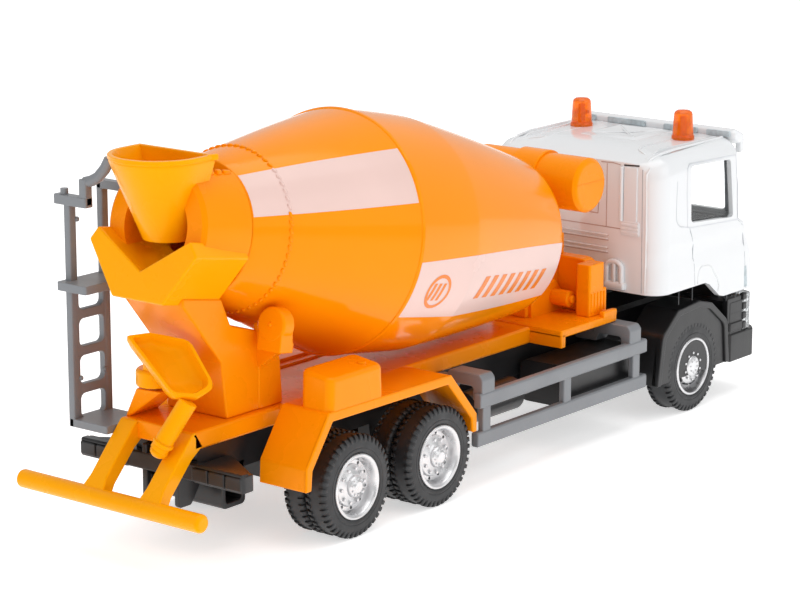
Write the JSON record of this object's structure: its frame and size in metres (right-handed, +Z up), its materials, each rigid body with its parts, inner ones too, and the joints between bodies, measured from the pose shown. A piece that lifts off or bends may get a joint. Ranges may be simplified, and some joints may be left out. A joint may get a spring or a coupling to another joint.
{
  "type": "toy cement mixer truck",
  "caption": "Toy cement mixer truck: tilted drum that spins, funnel, swivel chute, ladder, rear crossbar, side guards, cab, and wheels turning on steel axles",
  "frame": {"origin": "on the ground, under the middle of the toy's bounding box", "axes": "+X runs toward the cab, +Y to the truck's left, +Z up"},
  "size_m": [0.1835, 0.0498, 0.0767],
  "materials": {
    "orange_plastic": "glossy moulded orange plastic",
    "grey_plastic": "satin grey moulded plastic",
    "black_plastic": "satin black moulded plastic",
    "tyre_rubber": "dark vinyl with moulded lugs",
    "silver_rim": "vacuum-plated silver plastic",
    "steel_axle": "plain steel pin",
    "lamp_chrome": "clear lens over a silver reflector",
    "beacon_orange": "translucent orange plastic",
    "clear_window": "clear moulded window",
    "cab_trim": "dark grey moulding",
    "white_paint": "glossy white enamel on die-cast metal"
  },
  "bodies": {
    "chassis": {"air_tanks": "black_plastic", "arch_plate": "orange_plastic", "beacon_left": "beacon_orange", "beacon_right": "beacon_orange", "bumper": "black_plastic", "cab_base": "black_plastic", "cab_glazing": "clear_window", "cab_interior": "cab_trim", "cab_shell": "white_paint", "catcher": "orange_plastic", "chassis_frame": "black_plastic", "chute_post": "orange_plastic", "collar": "orange_plastic", "control_cabinet": "orange_plastic", "fender_left": "orange_plastic", "fender_right": "orange_plastic", "floor_pan": "black_plastic", "front_pedestal": "orange_plastic", "front_platform": "orange_plastic", "fuel_tank": "black_plastic", "funnel": "orange_plastic", "gearbox": "orange_plastic", "headlamp_left": "lamp_chrome", "headlamp_right": "lamp_chrome", "ladder": "grey_plastic", "rear_beam": "black_plastic", "rear_pedestal": "orange_plastic", "side_guard_left": "grey_plastic", "side_guard_right": "grey_plastic", "silencer": "black_plastic", "steering_wheel": "cab_trim", "subframe": "orange_plastic", "sun_visor": "white_paint", "tank_band": "orange_plastic", "tank_posts": "orange_plastic", "tow_hitch": "black_plastic", "under_tube": "black_plastic", "water_tank": "orange_plastic"},
    "drum": {"drum_rear_shell": "orange_plastic", "drum_front_shell": "orange_plastic"},
    "chute": {"chute_scoop": "orange_plastic", "chute_brace": "orange_plastic"},
    "front_wheels": {"front_axle": "steel_axle", "front_rim_left": "silver_rim", "front_rim_right": "silver_rim", "front_tyre_left": "tyre_rubber", "front_tyre_right": "tyre_rubber"},
    "middle_wheels": {"mid_axle": "steel_axle", "mid_rim_left": "silver_rim", "mid_rim_right": "silver_rim", "mid_tyre_left": "tyre_rubber", "mid_tyre_right": "tyre_rubber"},
    "rear_wheels": {"rear_axle": "steel_axle", "rear_rim_left": "silver_rim", "rear_rim_right": "silver_rim", "rear_tyre_left": "tyre_rubber", "rear_tyre_right": "tyre_rubber"}
  },
  "joints": [
    {"name": "drum_spin", "type": "hinge", "parent": "chassis", "child": "drum", "pos_m": [-0.0321, 0, 0.053], "axis": [0.9841, 0, -0.1777], "continuous": true},
    {"name": "chute_swing", "type": "hinge", "parent": "chassis", "child": "chute", "pos_m": [-0.0786, 0.002, 0.0316], "axis": [0, 0, 1], "range_deg": [-70, 0]},
    {"name": "front_axle_roll", "type": "hinge", "parent": "chassis", "child": "front_wheels", "pos_m": [0.0649, 0, 0.01], "axis": [0, 1, 0], "continuous": true},
    {"name": "middle_axle_roll", "type": "hinge", "parent": "chassis", "child": "middle_wheels", "pos_m": [-0.0246, 0, 0.01], "axis": [0, 1, 0], "continuous": true},
    {"name": "rear_axle_roll", "type": "hinge", "parent": "chassis", "child": "rear_wheels", "pos_m": [-0.0497, 0, 0.01], "axis": [0, 1, 0], "continuous": true}
  ]
}
